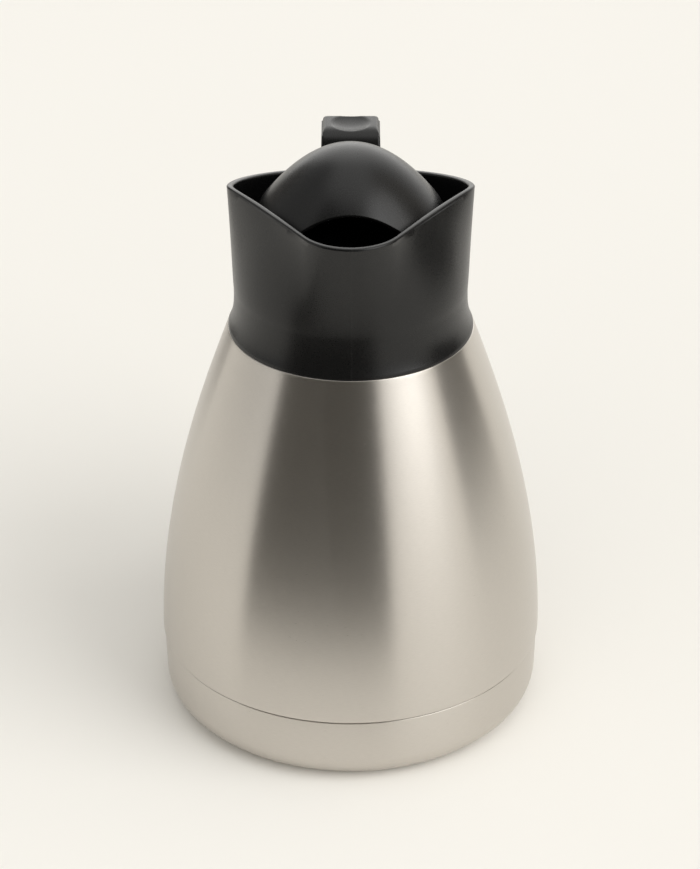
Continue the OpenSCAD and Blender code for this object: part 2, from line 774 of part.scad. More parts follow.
// Silicone ring with a sloping face, parallel to the seat in the collar
module stopper_gasket() {
    face = throat_r - seal_gap * sqrt(2) - seat_z;
    top = gasket_z + stopper_gasket_h;
    face_top = gasket_z + 2.2;
    color(RUBBER) turned([
        [gasket_bore_r, gasket_z], [face + gasket_z, gasket_z], [face + face_top, face_top],
        [face + face_top, top], [gasket_bore_r, top]
    ]);
}

// Insulating fill of the stopper
module stopper_foam() {
    foam_low = plate_z - stopper_h + stopper_wall;
    foam_r = stopper_tip_r - stopper_wall - foam_gap;
    color(FOAM) difference() {
        translate([0, 0, foam_low]) cylinder(r = foam_r, h = plate_z - foam_low);
        on_bosses() cylinder(r = boss_r, h = rim_z);
    }
}

module stopper_screws() {
    color(BARE_STEEL) on_bosses() translate([0, 0, hood_z]) rotate([180, 0, 0]) screw(lid_screw_l - 1);
}

outer_shell();
inner_flask();
flask_neck();
flask_bottom();
reflector_foil();
vacuum_base();
vacuum_plug();
getter();
base_cup();
foot_pad();
collar();
throat_ring();
neck_gasket();
handle_shell();
handle_cover();
handle_bracket();
handle_screws();
hinge_pin();
lid_lever();
lid_hood();
stopper_body();
stopper_gasket();
stopper_foam();
stopper_screws();
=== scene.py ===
"""Looks of a thermal carafe: brushed steel body, black collar, hinged hood with a thumb tab, rear grip.

Shapes are written in millimetres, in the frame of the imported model: +Z up, the spout points to -Y.
Angles are in degrees, and those in plan start at the spout.
"""
import json
import math

import bpy
import bmesh
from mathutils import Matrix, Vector


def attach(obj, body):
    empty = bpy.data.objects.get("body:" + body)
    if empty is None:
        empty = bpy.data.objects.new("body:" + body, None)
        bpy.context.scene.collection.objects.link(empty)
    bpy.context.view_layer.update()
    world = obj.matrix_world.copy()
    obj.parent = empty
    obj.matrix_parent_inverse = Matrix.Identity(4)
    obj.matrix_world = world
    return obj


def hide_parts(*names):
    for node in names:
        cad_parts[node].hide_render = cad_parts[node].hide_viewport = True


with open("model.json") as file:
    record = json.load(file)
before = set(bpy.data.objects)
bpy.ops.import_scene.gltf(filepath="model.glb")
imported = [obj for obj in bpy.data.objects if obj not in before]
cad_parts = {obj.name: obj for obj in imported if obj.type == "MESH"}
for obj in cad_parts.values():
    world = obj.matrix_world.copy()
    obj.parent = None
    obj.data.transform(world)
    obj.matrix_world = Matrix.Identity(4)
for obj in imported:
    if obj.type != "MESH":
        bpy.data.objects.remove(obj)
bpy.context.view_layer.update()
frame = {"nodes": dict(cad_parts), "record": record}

MM = 0.001

# Steel body and neck; the pulls shape the walls' curves, as shares of their rise
BODY_R, SHELL_LOW, SHEET = 71.4, 27.5, 0.6
SHOULDER_R, SHOULDER_Z, SHOULDER_SLOPE = 44.5, 154.0, 19.0
LOW_PULL, BODY_PULL, FLASK_PULL = 0.45, 0.14, 0.2
NECK_R, LIP_Z, MOUTH_R = 37.0, 172.5, 34.0

# Cup below the seam, the body's flange inside it, and the pad
SEAM_Z, CUP_R, FOOT_R, CUP_CORNER, CUP_LOW = 27.0, 70.9, 70.5, 10.5, 0.5
FLANGE_LOW = 12.5
PAD_R, PAD_T, PAD_FLAT, PAD_GROOVES = 48.0, 1.5, 14.0, (24, 31, 38)

# Inner flask, and the space that it leaves at the shoulder and at the neck
FLASK_R, FLASK_FLOOR, FLASK_CORNER, FLASK_WALL_Z = 64.8, 20.0, 14.0, 34.0
FLASK_SHOULDER_Z, FLASK_NECK_Z = 126.0, 146.0
SHOULDER_GAP, NECK_GAP = 7.2, 1.8

# Collar: skirt, waist, flared rim, spout with its flanks, and the mould's parting line
COLLAR_H, COLLAR_WALL = 53.5, 2.4
WAIST_R, WAIST_H, SKIRT_POWER = 42.0, 15.0, 3
RIM_R, RIM_Z, RIM_LIFT, RIM_FALL, RIM_BLEND = 44.7, SHOULDER_Z + COLLAR_H, 0.8, 16.0, 6.0
SPOUT_REACH, SPOUT_START, SPOUT_POWER = 50.5, 16.0, 1.6
FLANK_REACH, FLANK_ANGLE, FLANK_SPAN, CORNER_POWER = 36.6, 56.5, 80.0, 24.0
PARTING_HALF, PARTING_PROUD = 0.45, 0.07

# Throat inside the collar, the sleeve on the steel neck, and the notch for the lid's arm
THROAT_R, SHELF_Z, SEAT_Z, WALL_ABOVE_SEAT = 32.5, 174.0, 180.6, 8.0
SLEEVE_R, SLEEVE_T, SLEEVE_LOW, RELIEF_Z = 37.15, 2.0, SHOULDER_Z + 3, SHOULDER_Z + WAIST_H - 6
NOTCH_X, NOTCH_Z, NOTCH_R = 8.2, 184.5, 36.4

# Lid: plate, hood, stopper with its gasket
PLATE_R, PLATE_Z, PLATE_T = 32.0, 186.5, 3.0
HOOD_R, HOOD_LOW, HOOD_EDGE_Z, DOME_H, HOOD_WALL = 34.0, 186.9, 198.6, 24.5, 2.0
MOUTH_Y, MOUTH_LIP, MOUTH_CUT = 26.0, 0.35, 1.9
STOPPER_DEPTH, STOPPER_WALL = 16.5, 1.6
GASKET_Z, GASKET_H = 180.8, 3.4

# Hinge and lever; the tab's sizes start from the pin
HINGE_Y, HINGE_Z, HUB_R, HUB_W, EAR_R, PIN_R = 48.0, 190.0, 4.5, 15.0, 5.0, 1.5
ARM_START, ARM_TOP = 24.0, HINGE_Z + 3.5
TAB_W, TAB_H, TAB_REACH, TAB_T, TAB_FRONT, TAB_LOW = 22.4, 18.0, 14.5, 3.0, 3.0, 6.2
TAB_CORNER, TAB_TAPER, TAB_EDGE = 2.2, 0.4, 0.9
DISH_Y, DISH_HALF, DISH_DEPTH = 7.5, 7.75, 1.8

# Handle: section, the height of its two arms, the grip between them, its cover and its screws
HANDLE_W, HANDLE_T, HANDLE_CORNER = 22.0, 13.0, 4.0
ARM_Z, LOW_Z, GRIP_Y, BEND_TOP, BEND_LOW = 173.0, 65.0, 103.9, 24.0, 22.0
HEAD_REAR_Y, COVER_HALF, COVER_T, COVER_GAP = 59.0, 8.8, 2.2, 0.12
SCREW_ROWS = ((ARM_Z, (47.9, 53.4)), (LOW_Z, (76.8,)))
SCREW_SEAT, POCKET_R = 4.5, 3.0
LID_SCREW_CIRCLE = THROAT_R - 15.5

# Colours of the studio, as brightness without a unit
PAPER, WARM, BACKDROP = (1.0, 0.99, 0.965), (1.0, 0.93, 0.82), (0.871, 0.847, 0.791)


def sine(degrees):
    return math.sin(math.radians(degrees))


def cosine(degrees):
    return math.cos(math.radians(degrees))


def clamped(value):
    """The value, held between 0 and 1."""
    return max(0.0, min(1.0, value))


def spaced(first, last, count):
    """Values from first to last, in count equal steps."""
    return [first + (last - first) * i / count for i in range(count + 1)]


def arc(x, y, r, a, b, count):
    """Points of an arc about (x, y), from angle a to angle b."""
    return [(x + r * cosine(t), y + r * sine(t)) for t in spaced(a, b, count)]


def bezier(p, count):
    """Points of a cubic curve with the four control points p."""
    out = []
    for t in spaced(0.0, 1.0, count):
        w = ((1 - t) ** 3, 3 * (1 - t) ** 2 * t, 3 * (1 - t) * t * t, t ** 3)
        out.append(tuple(sum(w[k] * p[k][a] for k in range(4)) for a in range(len(p[0]))))
    return out


def rounded(before, tip, after, r, count):
    """Arc of radius r that takes the place of the corner at tip."""
    p = Vector(tip)
    a = (Vector(before) - p).normalized()
    b = (Vector(after) - p).normalized()
    half = a.angle(b) / 2
    centre = p + (a + b).normalized() * (r / math.sin(half))
    start = p + a * (r / math.tan(half)) - centre
    end = p + b * (r / math.tan(half)) - centre
    turn = math.atan2(start.x * end.y - start.y * end.x, start.dot(end))
    return [(centre.x + start.x * math.cos(t) - start.y * math.sin(t),
             centre.y + start.x * math.sin(t) + start.y * math.cos(t)) for t in spaced(0.0, turn, count)]


def rounding(edge, count):
    """Quarter round as (run, drop) pairs, from one face to the other."""
    return [(edge * sine(t), edge * (1 - cosine(t))) for t in spaced(0, 90, count)]


def shifted(points, d):
    """An open line moved sideways by d, to the left of its direction."""
    out = []
    for i, (x, y) in enumerate(points):
        x0, y0 = points[max(i - 1, 0)]
        x1, y1 = points[min(i + 1, len(points) - 1)]
        n = math.hypot(x1 - x0, y1 - y0)
        out.append((x - (y1 - y0) / n * d, y + (x1 - x0) / n * d))
    return out


def inset(outline, d):
    """A closed outline, given anticlockwise, drawn in by d; a sharp corner moves 2 d at most."""
    out = []
    for i, (x, y) in enumerate(outline):
        before = Vector((x, y)) - Vector(outline[i - 1])
        after = Vector(outline[(i + 1) % len(outline)]) - Vector((x, y))
        a = Vector((-before.y, before.x)).normalized()
        b = Vector((-after.y, after.x)).normalized()
        way = (a + b).normalized()
        step = way * (d / max(0.5, way.dot(a)))
        out.append((x + step.x, y + step.y))
    return out


def lesser(a, b, blend):
    """The smaller of two heights, with a soft change between them."""
    share = clamped(0.5 + 0.5 * (b - a) / blend)
    return b + (a - b) * share - blend * share * (1 - share)


class Shape:
    """Vertices in millimetres and faces, put together from rings."""

    def __init__(self):
        self.verts, self.faces = [], []

    def ring(self, points):
        """Adds points and returns their numbers."""
        start = len(self.verts)
        self.verts.extend(points)
        return list(range(start, start + len(points)))

    def bridge(self, a, b, closed=True):
        """Joins two rings, or two open rows, of equal length."""
        n = len(a)
        for i in range(n if closed else n - 1):
            j = (i + 1) % n
            self.faces.append((a[i], a[j], b[j], b[i]))

    def cap(self, ring):
        """Closes a flat ring."""
        self.faces.append(tuple(ring))

    def fan(self, ring, centre):
        """Closes a ring that isn't flat."""
        self.verts.append(centre)
        for i in range(len(ring)):
            self.faces.append((ring[i], ring[(i + 1) % len(ring)], len(self.verts) - 1))

    def loft(self, rings, loop=False, caps=True):
        """Joins rings of equal length in order, and the last to the first in a loop."""
        made = [self.ring(r) for r in rings]
        for a, b in zip(made, made[1:]):
            self.bridge(a, b)
        if loop:
            self.bridge(made[-1], made[0])
        elif caps:
            self.cap(made[0])
            self.cap(made[-1])
        return made

    def grid(self, rows):
        """Joins rows of points into a sheet, whose edges weld to the sheets beside it."""
        made = [self.ring(r) for r in rows]
        for a, b in zip(made, made[1:]):
            self.bridge(a, b, closed=False)

    def lathe(self, outline, turns, place=lambda x, y, z: (x, y, z)):
        """Turns a closed outline of (radius, height) about the axis."""
        rings = []
        for j in range(turns):
            t = 360 * j / turns
            rings.append([place(r * sine(t), -r * cosine(t), z) for r, z in outline])
        self.loft(rings, loop=True)

    def slab(self, outline, half, edge):
        """Side view of (y, z) points, half wide to each side of the middle plane, with rounded edges."""
        marks = [(half - edge + run, drop) for run, drop in rounding(edge, 5)]
        columns = [(-x, drop) for x, drop in reversed(marks)] + marks
        self.loft([[(x, y, z) for y, z in inset(outline, drop)] for x, drop in columns])


def solid_mesh(name, shape):
    """Closed mesh of a shape, in metres: doubles welded, loose edges gone, normals outwards."""
    weld = 0.002 * MM
    mesh = bpy.data.meshes.new(name)
    mesh.from_pydata([[c * MM for c in v] for v in shape.verts], [], shape.faces)
    bm = bmesh.new()
    bm.from_mesh(mesh)
    bmesh.ops.remove_doubles(bm, verts=bm.verts, dist=weld)
    bmesh.ops.dissolve_degenerate(bm, edges=bm.edges, dist=weld)
    bmesh.ops.delete(bm, geom=[e for e in bm.edges if not e.link_faces], context="EDGES")
    bmesh.ops.recalc_face_normals(bm, faces=bm.faces)
    bm.to_mesh(mesh)
    bm.free()
    return mesh


def without(mesh, cutter_shape):
    """The mesh with another shape cut out of it."""
    whole = bpy.data.objects.new("whole", mesh)
    cutter = bpy.data.objects.new("cutter", solid_mesh("cutter", cutter_shape))
    for obj in (whole, cutter):
        bpy.context.scene.collection.objects.link(obj)
    change = whole.modifiers.new("cut", "BOOLEAN")
    change.operation = "DIFFERENCE"
    change.solver = "EXACT"
    change.object = cutter
    change.use_self = True
    made = bpy.data.meshes.new_from_object(whole.evaluated_get(bpy.context.evaluated_depsgraph_get()))
    for obj in (whole, cutter):
        bpy.data.objects.remove(obj)
    return made


def together(name, meshes):
    """One mesh with the faces of several."""
    bm = bmesh.new()
    for mesh in meshes:
        bm.from_mesh(mesh)
    made = bpy.data.meshes.new(name)
    bm.to_mesh(made)
    bm.free()
    return made


def piece(name, shape, body, slot, nodes, sharp=32):
    """An object of the visual model, from a shape or a mesh, that rides on a body in the nodes' place."""
    mesh = solid_mesh(name, shape) if isinstance(shape, Shape) else shape
    mesh.shade_smooth()
    mesh.set_sharp_from_angle(angle=math.radians(sharp))
    mesh.materials.append(MATERIALS[slot])
    obj = bpy.data.objects.new(name, mesh)
    bpy.context.scene.collection.objects.link(obj)
    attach(obj, body)
    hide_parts(*nodes)


# Materials

class Nodes:
    """Short ways to add and link the nodes of a material or world."""

    def __init__(self, tree):
        self.tree = tree
        self.tree.nodes.clear()

    def add(self, kind, **values):
        """A node; in_ before a name sets the input of that name."""
        node = self.tree.nodes.new(kind)
        for key, value in values.items():
            if key.startswith("in_"):
                self.put(node.inputs[key[3:]], value)
            else:
                setattr(node, key, value)
        return node

    def put(self, socket, value):
        """Links an output to a socket, or sets the socket's value."""
        if isinstance(value, bpy.types.NodeSocket):
            self.tree.links.new(value, socket)
        else:
            socket.default_value = value

    def fill(self, kind, values):
        """A node with its first inputs set in order."""
        node = self.tree.nodes.new(kind)
        for socket, value in zip(node.inputs, values):
            self.put(socket, value)
        return node

    def math(self, operation, a, b):
        node = self.fill("ShaderNodeMath", (a, b))
        node.operation = operation
        return node.outputs[0]

    def vector(self, x, y, z):
        return self.fill("ShaderNodeCombineXYZ", (x, y, z)).outputs[0]

    def parts(self, vector):
        return self.fill("ShaderNodeSeparateXYZ", (vector,)).outputs

    def between(self, value, low, high, out_low=0.0, out_high=1.0):
        """A value's range from low to high, stretched to another one."""
        return self.fill("ShaderNodeMapRange", (value, low, high, out_low, out_high)).outputs[0]

    def spread(self, noise, out_low=0.0, out_high=1.0):
        """The middle of a noise, where most of it lies, stretched to another range."""
        return self.between(noise, 0.3, 0.7, out_low, out_high)

    def noise(self, vector, scale, detail=2.0, roughness=0.5):
        node = self.add("ShaderNodeTexNoise", in_Vector=vector, in_Scale=scale, in_Detail=detail,
                        in_Roughness=roughness)
        return node.outputs["Fac"]

    def ramp(self, factor, stops):
        """Colour by a factor, straight between the stops."""
        node = self.fill("ShaderNodeValToRGB", (factor,))
        elements = node.color_ramp.elements
        while len(elements) < len(stops):
            elements.new(0.5)
        for element, (position, colour) in zip(elements, stops):
            element.position = position
            element.color = (*colour, 1)
        return node.outputs[0]

    def mix(self, factor, a, b):
        """Colour between a and b, each a colour or an output."""
        node = self.add("ShaderNodeMix", data_type="RGBA")
        for socket, value in ((node.inputs[0], factor), (node.inputs[6], a), (node.inputs[7], b)):
            self.put(socket, (*value, 1) if isinstance(value, tuple) else value)
        return node.outputs[2]


def shade(colour, factor):
    """A colour made darker or lighter."""
    return tuple(min(1.0, c * factor) for c in colour)


def material(name):
    """A new material, its nodes and its shader."""
    mat = bpy.data.materials.new(name)
    mat.use_nodes = True
    nodes = Nodes(mat.node_tree)
    shader = nodes.add("ShaderNodeBsdfPrincipled")
    nodes.fill("ShaderNodeOutputMaterial", (shader.outputs[0],))
    return mat, nodes, shader


def bump(nodes, shader, height, strength, distance):
    node = nodes.add("ShaderNodeBump", in_Strength=strength, in_Distance=distance, in_Height=height)
    nodes.put(shader.inputs["Normal"], node.outputs[0])


def steel(name, colour, roughness, anisotropy, streak, around=2.6, upwards=520.0):
    """Brushed or drawn steel: lines run round the body's axis, over broad bands and faint clouds."""
    mat, n, shader = material(name)
    place = n.add("ShaderNodeTexCoord").outputs["Object"]
    x, y, z = n.parts(place)
    angle = n.math("ARCTAN2", x, n.math("MULTIPLY", y, -1.0))
    along_line = n.vector(n.math("MULTIPLY", angle, around), n.math("MULTIPLY", z, upwards), 0.0)
    lines = n.noise(along_line, scale=10.0, detail=3.0, roughness=0.62)
    along_band = n.vector(n.math("MULTIPLY", angle, 0.8), n.math("MULTIPLY", z, 190.0), 3.0)
    bands = n.noise(along_band, scale=3.0)
    clouds = n.noise(place, scale=16.0)

    tone = n.mix(n.spread(lines), shade(colour, 1 - streak), shade(colour, 1 + streak))
    n.put(shader.inputs["Base Color"], n.mix(n.spread(clouds, out_high=0.12), tone, shade(colour, 0.9)))
    n.put(shader.inputs["Metallic"], 1.0)
    rough = n.math("ADD", n.math("MULTIPLY", lines, roughness * 0.5), roughness * 0.75)
    n.put(shader.inputs["Roughness"], n.math("ADD", rough, n.math("MULTIPLY", bands, 0.04)))
    n.put(shader.inputs["Anisotropic"], anisotropy)
    n.put(shader.inputs["Anisotropic Rotation"], 0.25)
    tangent = n.add("ShaderNodeTangent", direction_type="RADIAL", axis="Z")
    n.put(shader.inputs["Tangent"], tangent.outputs[0])
    relief = n.math("ADD", lines, n.math("MULTIPLY", bands, 0.6))
    bump(n, shader, relief, strength=0.12, distance=0.00012)
    return mat


def plastic(name, colour, roughness):
    """Moulded plastic with a fine spark-eroded texture and faint clouds."""
    mat, n, shader = material(name)
    place = n.add("ShaderNodeTexCoord").outputs["Object"]
    grain = n.noise(place, scale=2600.0, roughness=0.6)
    clouds = n.noise(place, scale=38.0, detail=3.0)
    n.put(shader.inputs["Base Color"], n.mix(n.spread(clouds), shade(colour, 0.9), shade(colour, 1.12)))
    rough = n.spread(grain, roughness - 0.05, roughness + 0.05)
    n.put(shader.inputs["Roughness"], n.math("ADD", rough, n.spread(clouds, -0.02, 0.02)))
    n.put(shader.inputs["Specular IOR Level"], 0.4)
    bump(n, shader, grain, strength=0.05, distance=0.0003)
    return mat


def plain(name, colour, roughness, scale, strength, distance, metallic=0.0, spread=0.1):
    """Rubber, foam or foil: one noise drives its colour, gloss and relief."""
    mat, n, shader = material(name)
    place = n.add("ShaderNodeTexCoord").outputs["Object"]
    grain = n.noise(place, scale, detail=3.0, roughness=0.6)
    n.put(shader.inputs["Base Color"],
          n.mix(n.spread(grain), shade(colour, 1 - spread), shade(colour, 1 + spread)))
    n.put(shader.inputs["Roughness"], n.spread(grain, roughness - 0.05, roughness + 0.05))
    n.put(shader.inputs["Metallic"], metallic)
    bump(n, shader, grain, strength, distance)
    return mat


MATERIALS = {
    "brushed_steel": steel("brushed_steel", (0.605, 0.572, 0.528), 0.29, 0.75, 0.04),
    "bare_steel": steel("bare_steel", (0.60, 0.59, 0.57), 0.24, 0.4, 0.02, around=0.8, upwards=240.0),
    "black_plastic": plastic("black_plastic", (0.0036, 0.0036, 0.0036), 0.30),
    "silicone": plain("silicone", (0.045, 0.045, 0.047), 0.68, 1500.0, 0.2, 0.0004),
    "foil": plain("foil", (0.85, 0.50, 0.36), 0.22, 130.0, 0.35, 0.0006, metallic=1.0, spread=0.04),
    "foam": plain("foam", (0.84, 0.80, 0.70), 0.9, 900.0, 0.6, 0.0008),
}
for part in frame["record"]["subparts"]:
    mesh = frame["nodes"][part["node"]].data
    mesh.materials.clear()
    mesh.materials.append(MATERIALS[part["material_slot"]])


# Steel body

SLOPE = math.tan(math.radians(SHOULDER_SLOPE))


def wall_line(low_r, low_z, high_r, high_z, pull, count):
    """Side of a wall that rises upright and ends at the shoulder's slope."""
    rise = high_z - low_z
    return bezier([(low_r, low_z), (low_r, low_z + LOW_PULL * rise),
                   (high_r + SLOPE * pull * rise, high_z - pull * rise), (high_r, high_z)], count)


BODY_LINE = wall_line(BODY_R, SHELL_LOW, SHOULDER_R, SHOULDER_Z, BODY_PULL, 72)


def body_radius(z):
    """Radius of the steel body at a height."""
    if z <= SHELL_LOW:
        return BODY_R
    for (r0, z0), (r1, z1) in zip(BODY_LINE, BODY_LINE[1:]):
        if z <= z1:
            return r0 + (r1 - r0) * (z - z0) / (z1 - z0)
    return SHOULDER_R


def make_body():
    low_edge, high_edge, root, trim = 0.3, 0.35, 0.4, 0.8
    start_z, shoulder_z = SHELL_LOW + low_edge * 1.5, SHOULDER_Z - 2 * trim
    shoulder = (body_radius(shoulder_z), shoulder_z)
    ledge = (NECK_R + 2, SHOULDER_Z)
    inner = [p for p in shifted(BODY_LINE, SHEET) if SHELL_LOW + 1 < p[1] < SHOULDER_Z - 1]
    outline = [(FOOT_R - SHEET, FLANGE_LOW), (FOOT_R - SHEET, SHELL_LOW)]
    outline += arc(BODY_R - low_edge, SHELL_LOW + low_edge, low_edge, -90, 0, 5)
    outline += [p for p in BODY_LINE if start_z < p[1] < SHOULDER_Z - trim]
    outline += [shoulder] + rounded(shoulder, (SHOULDER_R, SHOULDER_Z), ledge, high_edge, 6) + [ledge]
    outline += [(NECK_R + root, SHOULDER_Z), (NECK_R, SHOULDER_Z + root), (NECK_R, LIP_Z)]
    outline += [(NECK_R - SHEET, LIP_Z), (NECK_R - SHEET, SHOULDER_Z - SHEET)]
    outline += [(SHOULDER_R - SHEET, SHOULDER_Z - SHEET)] + inner[::-1]
    outline += [(BODY_R - SHEET, SHELL_LOW + SHEET), (FOOT_R - 2 * SHEET, SHELL_LOW + SHEET),
                (FOOT_R - 2 * SHEET, FLANGE_LOW)]
    shape = Shape()
    shape.lathe(outline, 256)
    piece("steel_body", shape, "jug", "brushed_steel", ["outer_shell"])


def make_cup():
    centre_r, centre_z, edge = FOOT_R - CUP_CORNER, CUP_LOW + CUP_CORNER, 0.3
    outline = [(0, PAD_T), (PAD_R, PAD_T), (PAD_R, CUP_LOW)]
    outline += arc(centre_r, centre_z, CUP_CORNER, -90, 0, 20)
    outline += arc(CUP_R - edge, SEAM_Z - edge, edge, 0, 90, 5) + [(CUP_R - SHEET, SEAM_Z)]
    outline += arc(centre_r, centre_z, CUP_CORNER - SHEET, 0, -90, 16)
    outline += [(PAD_R + 2 * SHEET, CUP_LOW + SHEET), (PAD_R + SHEET, PAD_T + SHEET), (0, PAD_T + SHEET)]
    shape = Shape()
    shape.lathe(outline, 256)
    piece("steel_cup", shape, "jug", "brushed_steel", ["base_cup"])


# Collar: a skirt, a waist and a flare, pinched into a spout in front and notched for the lid behind

TIP_R = (FLANK_REACH - SPOUT_REACH * cosine(FLANK_ANGLE)) / (1 - cosine(FLANK_ANGLE))
TIP_Y = SPOUT_REACH - TIP_R
TIP_ANGLE = math.degrees(math.atan2(TIP_R * sine(FLANK_ANGLE), TIP_Y + TIP_R * cosine(FLANK_ANGLE)))


def rim_plan(a):
    """Plan radius of the rim at an angle: the spout's round tip, its straight flank, then the circle."""
    if a < TIP_ANGLE:
        return TIP_Y * cosine(a) + math.sqrt(TIP_R ** 2 - (TIP_Y * sine(a)) ** 2)
    if a > FLANK_ANGLE + FLANK_SPAN:
        return RIM_R
    flank = FLANK_REACH / cosine(a - FLANK_ANGLE)
    if a < FLANK_ANGLE:
        return flank
    return (RIM_R ** -CORNER_POWER + flank ** -CORNER_POWER) ** (-1 / CORNER_POWER)


def collar_radius(a, z):
    """Radius of the collar's outside at an angle and a height."""
    h = z - SHOULDER_Z
    flare = (RIM_R - WAIST_R) * max(0.0, h - WAIST_H) / (COLLAR_H - WAIST_H)
    skirt = (SHOULDER_R - WAIST_R) * (max(0.0, WAIST_H - h) / WAIST_H) ** SKIRT_POWER
    share = (max(0.0, h - SPOUT_START) / (COLLAR_H - SPOUT_START)) ** SPOUT_POWER
    return WAIST_R + skirt + flare + share * (rim_plan(a) - RIM_R)


def rim_height(y):
    """Height of the rim: level in front, falling towards the hinge."""
    return RIM_Z + RIM_LIFT - math.tan(math.radians(RIM_FALL)) * (y + math.hypot(y, RIM_BLEND)) / 2


def collar_section(angle, drawn_in):
    """Closed section of (radius, height) points, and the numbers of those where the notch starts and ends."""
    a = abs(angle)
    outer_edge, inner_edge, crown, foot = 0.8, 0.9, 0.03, 0.4
    soft, bevel, lead, land, hair, skirt_h = 1.4, 0.3, 1.2, 0.2, 0.02, 4.5
    ridge = PARTING_PROUD * max(0.0, 1 - a / PARTING_HALF)
    top = rim_height(-RIM_R * cosine(a)) - drawn_in
    low = top - max(outer_edge, inner_edge)

    def out(z):
        return collar_radius(a, z) - drawn_in + ridge

    def inside(z):
        return collar_radius(a, z) - COLLAR_WALL + drawn_in

    foot_z = SHOULDER_Z + foot
    points = [(out(foot_z) - foot + foot * sine(t), foot_z - foot * cosine(t)) for t in (0, 30, 60)]
    points += [(out(z), z) for z in spaced(foot_z, NOTCH_Z, 30)]
    leave = len(points) - 1
    points += [(out(z), z) for z in spaced(NOTCH_Z, low, 12)[1:]]
    points += arc(out(top) - outer_edge, top - outer_edge, outer_edge, 0, 90, 6)
    points += [((out(top) + inside(top)) / 2, top + crown)]
    points += arc(inside(top) + inner_edge, top - inner_edge, inner_edge, 90, 180, 6)

    # The floor of the bowl is a cone of 45 degrees, softly joined to the wall
    floor_r = inside(SEAT_Z + WALL_ABOVE_SEAT)
    floor_z = SEAT_Z + floor_r - THROAT_R
    points += [(inside(z), z) for z in spaced(low, floor_z + soft, 10)[1:]]
    along_cone = 0.7 * soft
    bend = (points[-1], (floor_r, floor_z), (floor_r - along_cone, floor_z - along_cone))
    for t in spaced(0.0, 1.0, 5)[1:]:
        w = ((1 - t) ** 2, 2 * t * (1 - t), t * t)
        points.append(tuple(sum(w[k] * bend[k][axis] for k in range(3)) for axis in range(2)))
    meet = len(points)
    points += [(NOTCH_R, SEAT_Z + NOTCH_R - THROAT_R), (THROAT_R + lead, SEAT_Z + lead),
               (THROAT_R + bevel, SEAT_Z + bevel), (THROAT_R, SEAT_Z - land), (THROAT_R, SHELF_Z + bevel),
               (THROAT_R + bevel, SHELF_Z)]
    points += [(SLEEVE_R, SHELF_Z), (SLEEVE_R, SLEEVE_LOW), (SLEEVE_R + SLEEVE_T, SLEEVE_LOW),
               (SLEEVE_R + SLEEVE_T, RELIEF_Z), (inside(RELIEF_Z) - hair, RELIEF_Z)]
    skirt_z = SHOULDER_Z + skirt_h
    points += [(inside(skirt_z), skirt_z), (SHOULDER_R - COLLAR_WALL, SHOULDER_Z)]
    return points, leave, meet


def make_collar():
    """Sections all round but for the notch, whose rounded sides and floor run straight back."""
    edge, spare, step = 0.4, 0.5, 1.25
    half = NOTCH_X + edge
    rear = math.degrees(math.asin((half + spare) / RIM_R))
    reach = math.floor((180 - rear) / step)
    angles = [i * step for i in range(-reach, reach + 1)]
    angles += [-PARTING_HALF, -PARTING_HALF / 2, PARTING_HALF / 2, PARTING_HALF]
    side = [(half - run, drop) for run, drop in rounding(edge, 4)]
    columns = [(180, drop, -x) for x, drop in reversed(side)]
    columns += [(a, 0.0, None) for a in sorted(angles)]
    columns += [(180, drop, x) for x, drop in side]

    def placed(points, angle, x):
        if x is None:
            return [(r * sine(angle), -r * cosine(angle), z) for r, z in points]
        return [(x, math.sqrt(r * r - x * x), z) for r, z in points]

    shape = Shape()
    rings = []
    for angle, drawn_in, x in columns:
        points = collar_section(angle, drawn_in)[0]
        rings.append(shape.ring(placed(points, angle, x)))
    for a, b in zip(rings, rings[1:]):
        shape.bridge(a, b)

    points, leave, meet = collar_section(180, edge)
    across = [(r, NOTCH_Z) for r in spaced(points[leave][0], NOTCH_R, meet - leave)[1:-1]]
    floor = points[:leave + 1] + across + points[meet:]

    def beside(full, x):
        """Closes the notch's side above its floor, and returns the ring below it."""
        middle = shape.ring(placed(across, 180, x))
        shape.cap(full[leave:meet + 1] + middle[::-1])
        return full[:leave + 1] + middle + full[meet:]

    made = [beside(rings[-1], NOTCH_X)]
    made += [shape.ring(placed(floor, 180, x)) for x in spaced(NOTCH_X, -NOTCH_X, 8)[1:-1]]
    made += [beside(rings[0], -NOTCH_X)]
    for a, b in zip(made, made[1:]):
        shape.bridge(a, b)
    piece("pouring_collar", shape, "jug", "black_plastic", ["collar", "throat_ring"], sharp=40)


# Lid: a hood with a sliced front, on a plate with an arm, a hub and a thumb tab

def hood_profile(radius, edge_z, height):
    """Side of the dome from its top to its upright skirt, dense enough to look heights up in."""
    leave_r = 0.88 * radius
    leave_z = edge_z + height * (1 - (leave_r / radius) ** 2)
    slope = 2 * height * leave_r / radius ** 2
    run, above, below = 0.6 * (radius - leave_r), 0.6, 3.4
    dome = [(r, edge_z + height * (1 - (r / radius) ** 2)) for r in spaced(0.0, leave_r, 60)]
    shoulder = bezier([(leave_r, leave_z), (leave_r + run, leave_z - slope * run),
                       (radius, edge_z + above), (radius, edge_z - below)], 30)
    return dome + shoulder[1:]


def height_at(profile, r):
    for (r0, z0), (r1, z1) in zip(profile, profile[1:]):
        if r <= r1:
            return z0 + (z1 - z0) * (r - r0) / (r1 - r0)
    return profile[-1][1]


def slope_at(profile, r):
    """Unit direction of the profile, outwards and down."""
    for (r0, z0), (r1, z1) in zip(profile, profile[1:]):
        if r <= r1 + 1e-6:
            n = math.hypot(r1 - r0, z1 - z0)
            return (r1 - r0) / n, (z1 - z0) / n
    return 0.0, -1.0


